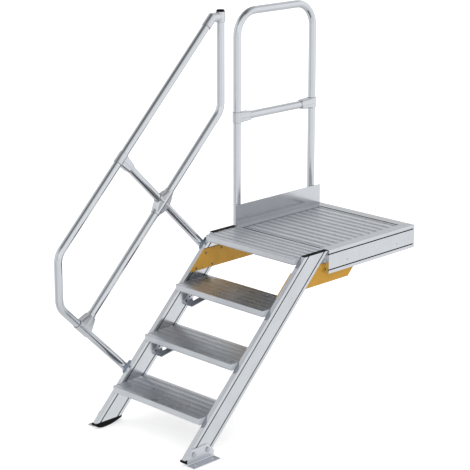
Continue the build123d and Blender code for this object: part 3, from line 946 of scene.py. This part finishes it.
@dataclass(frozen=True)
class Hardware:
    """All visible fasteners of the stair.

    Attributes:
        sizes: the stair's sizes.
        plate: thickness of gussets, braces, floor brackets and the clamps' plates.
        ear: how far the clamps' ears stand out from the stringer.
        gusset_spots: Y and Z of the bolts in a gusset.
        bracket_height: height of the floor brackets' bolts over the ground.
        bracket_steps: Y of these bolts, from the first tread's front.
        brace_spots: a brace's bolts, behind the stringers' front face and along it.
        rivet_places: Y of the rivets in a side frame.
        rivet_drop: how far they are below the platform's top.
        leg_places: Y of the guardrail's legs.
        leg_heights: Z of the bolts in a leg.
        clamp_spots: Y and Z of the middle of each clamp.
        ear_step: distance of an ear's bolt from that middle, along the pitch.
        clamp_step: distance of the plate's bolt from it, square to the pitch.
    """

    sizes: StairSizes = SIZES
    plate: float = 0.005
    ear: float = 0.009
    gusset_spots: tuple[tuple[float, float], ...] = (
        (-0.897, -0.033), (-0.787, -0.026), (-0.854, -0.099), (-0.966, -0.099),
        (-0.652, -0.043), (-0.560, -0.024), (-0.455, -0.024),
    )
    bracket_height: float = 0.048
    bracket_steps: tuple[float, float] = (-0.062, 0.026)
    brace_spots: tuple[tuple[float, float], ...] = ((0.087, -0.034), (0.080, -0.063))
    rivet_places: tuple[float, float] = (-0.526, -0.142)
    rivet_drop: float = 0.073
    leg_places: tuple[float, float] = (-0.618, -0.054)
    leg_heights: tuple[float, ...] = (0.150, 0.079, -0.034)
    clamp_spots: tuple[tuple[float, float], ...] = ((-0.8443, -0.0297), (-1.3708, -0.5562))
    ear_step: float = 0.0285
    clamp_step: float = 0.031

    def build(self, book: FinishBook) -> None:
        """Builds each set of fasteners as one piece.

        Args:
            book: the finishes.
        """
        sets = []
        for side, sign in (("right", 1.0), ("left", -1.0)):
            sets.append((f"{side}_gusset_bolts", self._gusset(sign), "dark_bolt"))
            sets.append((f"{side}_floor_bracket_bolts", self._floor_bracket(sign), "zinc_plated"))
            sets.append((f"{side}_tread_bracket_bolts", self._braces(sign), "dark_bolt"))
        sets.append(("frame_rivets", self._frame_rivets(), "zinc_plated"))
        sets.append(("guard_leg_bolts", self._guard_legs(), "zinc_plated"))
        sets.append(("clamp_bolts", self._clamps(), "zinc_plated"))
        for name, heads, finish in sets:
            add_piece(name, [head.surface() for head in heads], finish, book)

    def _gusset(self, sign: float) -> list[Fastener]:
        """Bolts through the gusset into the stringer and the platform frame.

        Args:
            sign: 1 on the right and -1 on the left.

        Returns:
            The bolts.
        """
        x = sign * (self.sizes.inner - self.plate)
        return [Fastener((x, y, z), (-sign, 0, 0), Head.BUTTON_M6) for y, z in self.gusset_spots]

    def _floor_bracket(self, sign: float) -> list[Fastener]:
        """Bolts that hold the stringer to the upright of the floor bracket.

        Args:
            sign: 1 on the right and -1 on the left.

        Returns:
            The bolts.
        """
        x = sign * (self.sizes.outer + self.plate)
        z = self.sizes.ground + self.bracket_height
        places = [self.sizes.first_front + step for step in self.bracket_steps]
        return [Fastener((x, y, z), (sign, 0, 0), Head.HEX_M10) for y in places]

    def _braces(self, sign: float) -> list[Fastener]:
        """Two bolts in the leg of each brace, under every tread but the lowest.

        Args:
            sign: 1 on the right and -1 on the left.

        Returns:
            The bolts.
        """
        heads = []
        x = sign * (self.sizes.inner - self.plate)
        for tread in range(1, self.sizes.treads):
            edge = self.sizes.front_of(tread) + self.sizes.nosing
            for behind, along in self.brace_spots:
                step_y, step_z = self.sizes.on_pitch(along, behind)
                place = (x, edge + step_y, self.sizes.top_of(tread) + step_z)
                heads.append(Fastener(place, (-sign, 0, 0), Head.BUTTON_M6))
        return heads

    def _frame_rivets(self) -> list[Fastener]:
        """Rivets on the outer faces of the platform's side frames.

        Returns:
            The rivets of both sides.
        """
        z = self.sizes.top - self.rivet_drop
        return [
            Fastener((sign * self.sizes.outer, y, z), (sign, 0, 0), Head.RIVET)
            for sign in (1.0, -1.0)
            for y in self.rivet_places
        ]

    def _guard_legs(self) -> list[Fastener]:
        """Domed bolts on the outer side of the guardrail's legs.

        Returns:
            The bolts of both legs.
        """
        x = self.sizes.tube_x - self.sizes.tube_radius
        places = [(x, y, z) for y in self.leg_places for z in self.leg_heights]
        return [Fastener(place, (-1, 0, 0), Head.BUTTON) for place in places]

    def _clamps(self) -> list[Fastener]:
        """Bolts in the ears of the post clamps and one in the plate below each post.

        Returns:
            The bolts of both clamps.
        """
        heads = []
        for y, z in self.clamp_spots:
            for along in (-self.ear_step, self.ear_step):
                step_y, step_z = self.sizes.on_pitch(along, 0.0)
                place = (-self.sizes.outer - self.ear, y + step_y, z + step_z)
                heads.append(Fastener(place, (-1, 0, 0)))
            step_y, step_z = self.sizes.on_pitch(0.0, self.clamp_step)
            place = (-self.sizes.outer - self.plate, y + step_y, z + step_z)
            heads.append(Fastener(place, (-1, 0, 0), Head.BUTTON_M6))
        return heads


@dataclass(frozen=True)
class CornerPlates:
    """Small plates under the front beam that close its corners with the platform's sides.

    Each outline is a rectangle whose lower inner corner is a quarter of a circle. With the
    radius r, x = inner + r - r cos a and z = low + r - r sin a for a from 0 to a right angle.
    """

    inner: float = 0.2400
    outer: float = 0.2948
    low: float = -0.0320
    high: float = 0.0
    front: float = -0.6640
    thick: float = 0.0040
    radius: float = 0.0240
    arc_points: int = 9

    def build(self, book: FinishBook) -> None:
        """Builds both plates as one piece.

        Args:
            book: the finishes.
        """
        plates = [self.surface(sign) for sign in (1.0, -1.0)]
        add_piece("beam_corner_plates", plates, "frame_aluminium", book)

    def surface(self, sign: float) -> Surface:
        """Works out one plate from its outline.

        Args:
            sign: 1 on the right and -1 on the left.

        Returns:
            Vertices as rows, and quads as rows of four indices.
        """
        turn = np.linspace(0.0, np.pi / 2, self.arc_points)
        arc_x = self.inner + self.radius * (1 - np.cos(turn))
        arc_z = self.low + self.radius * (1 - np.sin(turn))
        x = np.append(arc_x, [self.outer, self.outer, self.inner])
        z = np.append(arc_z, [self.low, self.high, self.high])
        middle = np.full((2, len(x)), [[x.mean()], [z.mean()]])
        rear = self.front + self.thick
        rings = ((middle, self.front), ((x, z), self.front), ((x, z), rear), (middle, rear))
        rows = [
            np.stack([sign * across, np.full(len(x), y), height], axis=-1)
            for (across, height), y in rings
        ]
        return np.vstack(rows), grid_faces(len(rows), len(x))


# Studio


@dataclass(frozen=True)
class SoftBox:
    """A soft bright patch in a direction that glossy surfaces see, or a dark one below zero.

    With the cosine of the angle from its middle, it is full above near and gone below far.
    """

    toward: Point
    amount: float
    near: float
    far: float


@dataclass(frozen=True)
class SoftSun:
    """A sun whose light comes from a direction, softened by its angle in degrees."""

    name: str
    toward: Point
    strength: float
    spread: float = 60.0

    def build(self) -> None:
        """Puts the lamp into the scene."""
        lamp = bpy.data.lights.new(self.name, "SUN")
        lamp.energy = self.strength
        lamp.angle = math.radians(self.spread)
        holder = bpy.data.objects.new(self.name, lamp)
        holder.rotation_mode = "QUATERNION"
        holder.rotation_quaternion = Vector(self.toward).to_track_quat("Z", "Y")
        bpy.context.scene.collection.objects.link(holder)


@dataclass(frozen=True)
class PhotoCamera:
    """The camera of the photograph, solved from the stair's straight lines.

    Azimuth 0 looks along Y and it grows towards minus X; both angles are in degrees.
    """

    image_pixels: float = 470.0
    focal_pixels: float = 1592.33
    sensor_mm: float = 36.0
    azimuth: float = 44.7919
    elevation: float = 15.8676
    place: Point = (5.24308, -6.26759, 2.25388)
    clip_end: float = 200.0

    def build(self) -> None:
        """Puts the camera into the scene and makes it the scene's own."""
        camera = bpy.data.cameras.new("camera")
        camera.sensor_width = self.sensor_mm
        camera.lens = self.focal_pixels / self.image_pixels * self.sensor_mm
        camera.clip_end = self.clip_end
        holder = bpy.data.objects.new("camera", camera)
        azimuth, elevation = math.radians(self.azimuth), math.radians(self.elevation)
        level = math.cos(elevation)
        ahead = Vector((-math.sin(azimuth) * level, math.cos(azimuth) * level, -math.sin(elevation)))
        turn = ahead.to_track_quat("-Z", "Y").to_matrix().to_4x4()
        holder.matrix_world = Matrix.Translation(self.place) @ turn
        bpy.context.scene.collection.objects.link(holder)
        bpy.context.scene.camera = holder


@dataclass(frozen=True)
class Studio:
    """White floor and surroundings, two soft suns and the camera.

    Attributes:
        sizes: the stair's sizes.
        suns: the lamps.
        level: the world's strength for matt surfaces.
        below: brightness of the room far below, as glossy surfaces see it.
        horizon: its brightness just below the horizon.
        drops: where the room gets darker upwards, as two heights and the loss between them.
        boxes: its soft boxes.
        reach: half the floor's width.
        gap: how far the floor lies under the stair.
        paper: the floor's own grey.
        glow: what it adds to look white to the eye.
    """

    sizes: StairSizes = SIZES
    suns: tuple[SoftSun, ...] = (
        SoftSun("key_sun", (0.75, -0.40, 0.55), 0.25),
        SoftSun("fill_sun", (-0.45, -0.75, 0.45), 0.10),
    )
    level: float = 0.95
    below: float = 0.65
    horizon: float = 0.79
    drops: tuple[tuple[float, float, float], ...] = ((-0.05, 0.25, 0.18), (0.45, 0.85, 0.48))
    boxes: tuple[SoftBox, ...] = (
        SoftBox((-0.70, -0.20, 0.68), 0.15, 0.94, 0.78),
        SoftBox((0.10, 0.75, 0.65), 0.27, 0.92, 0.70),
        SoftBox((0.85, 0.45, 0.25), 0.15, 0.91, 0.80),
        SoftBox((-0.25, -0.93, -0.27), -0.20, 0.97, 0.80),
    )
    reach: float = 60.0
    gap: float = 0.0005
    paper: Colour = (0.80, 0.80, 0.80)
    glow: float = 0.52

    def build(self) -> None:
        """Builds floor, world, lamps and camera."""
        self._world()
        self._floor()
        for sun in self.suns:
            sun.build()
        PhotoCamera().build()

    def _world(self) -> None:
        """White to the eye, a plain level for matt surfaces, a room of soft boxes for glossy ones."""
        world = bpy.data.worlds.new("studio_world")
        bpy.context.scene.world = world
        graph = Graph.emptied(world)
        ray = graph.add("ShaderNodeLightPath")
        room = self._room(graph, graph.add("ShaderNodeTexCoord").outputs["Generated"])
        lit = graph.blend(ray.outputs["Is Glossy Ray"], self.level, room)
        seen = graph.math("MAXIMUM", ray.outputs["Is Camera Ray"], ray.outputs["Is Transmission Ray"])
        back = graph.add("ShaderNodeBackground")
        graph.feed(back, Color=(1, 1, 1, 1), Strength=graph.blend(seen, lit, 1.0))
        graph.feed(graph.add("ShaderNodeOutputWorld"), Surface=back.outputs[0])

    def _room(self, graph: Graph, direction: Socket) -> Socket:
        """Brightness of the room: most just below the horizon, less far below, least overhead.

        Args:
            graph: the world's graph.
            direction: the direction looked in.

        Returns:
            The brightness, with that of the soft boxes.
        """
        height = graph.split(direction).outputs["Z"]
        total = graph.ramp(height, low=-0.75, high=-0.25, start=self.below, end=self.horizon)
        for low, high, drop in self.drops:
            total = graph.math("SUBTRACT", total, graph.ramp(height, low, high, 0.0, drop))
        for box in self.boxes:
            aim = graph.add("ShaderNodeVectorMath", operation="DOT_PRODUCT")
            graph.feed(aim, i0=direction, i1=Vector(box.toward).normalized())
            patch = graph.ramp(aim.outputs["Value"], box.far, box.near, 0.0, box.amount)
            total = graph.math("ADD", total, patch)
        return total

    def _floor(self) -> None:
        """A plane that stays white to the eye, keeps the stair's soft shadow and doesn't mirror."""
        mesh = bpy.data.meshes.new("studio_floor")
        z = self.sizes.ground - self.gap
        signs = ((-1, -1), (1, -1), (1, 1), (-1, 1))
        corners = [(x * self.reach, y * self.reach, z) for x, y in signs]
        mesh.from_pydata(corners, [], [(0, 1, 2, 3)])
        floor = bpy.data.objects.new("studio_floor", mesh)
        bpy.context.scene.collection.objects.link(floor)
        material = bpy.data.materials.new("studio_floor")
        graph = Graph.emptied(material)
        ray = graph.add("ShaderNodeLightPath")
        paper = graph.feed(graph.add("ShaderNodeBsdfDiffuse"), Color=(*self.paper, 1.0))
        seen = graph.math("MULTIPLY", ray.outputs["Is Camera Ray"], self.glow)
        glow = graph.feed(graph.add("ShaderNodeEmission"), Color=(1, 1, 1, 1), Strength=seen)
        both = graph.feed(graph.add("ShaderNodeAddShader"), i0=paper.outputs[0], i1=glow.outputs[0])
        clear = graph.add("ShaderNodeBsdfTransparent")
        through = graph.add("ShaderNodeMixShader")
        graph.feed(through, i0=ray.outputs["Is Glossy Ray"], i1=both.outputs[0], i2=clear.outputs[0])
        graph.feed(graph.add("ShaderNodeOutputMaterial"), Surface=through.outputs[0])
        mesh.materials.append(material)


# The whole scene


def main() -> None:
    """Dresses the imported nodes, adds the fasteners and plates, and builds the studio."""
    logging.basicConfig(level=logging.INFO, format="%(name)s: %(message)s")
    bpy.context.scene.view_settings.view_transform = "Standard"
    for leftover in list(bpy.data.objects):
        bpy.data.objects.remove(leftover)
    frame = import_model()
    book = FinishBook()
    for subpart in frame["record"]["subparts"]:
        node = frame["nodes"][subpart["node"]]
        book.dress(node, subpart["material_slot"])
        LOG.info("%s: %s", node.name, subpart["material_slot"])
    Hardware().build(book)
    CornerPlates().build(book)
    Studio().build()


if __name__ == "__main__":
    main()
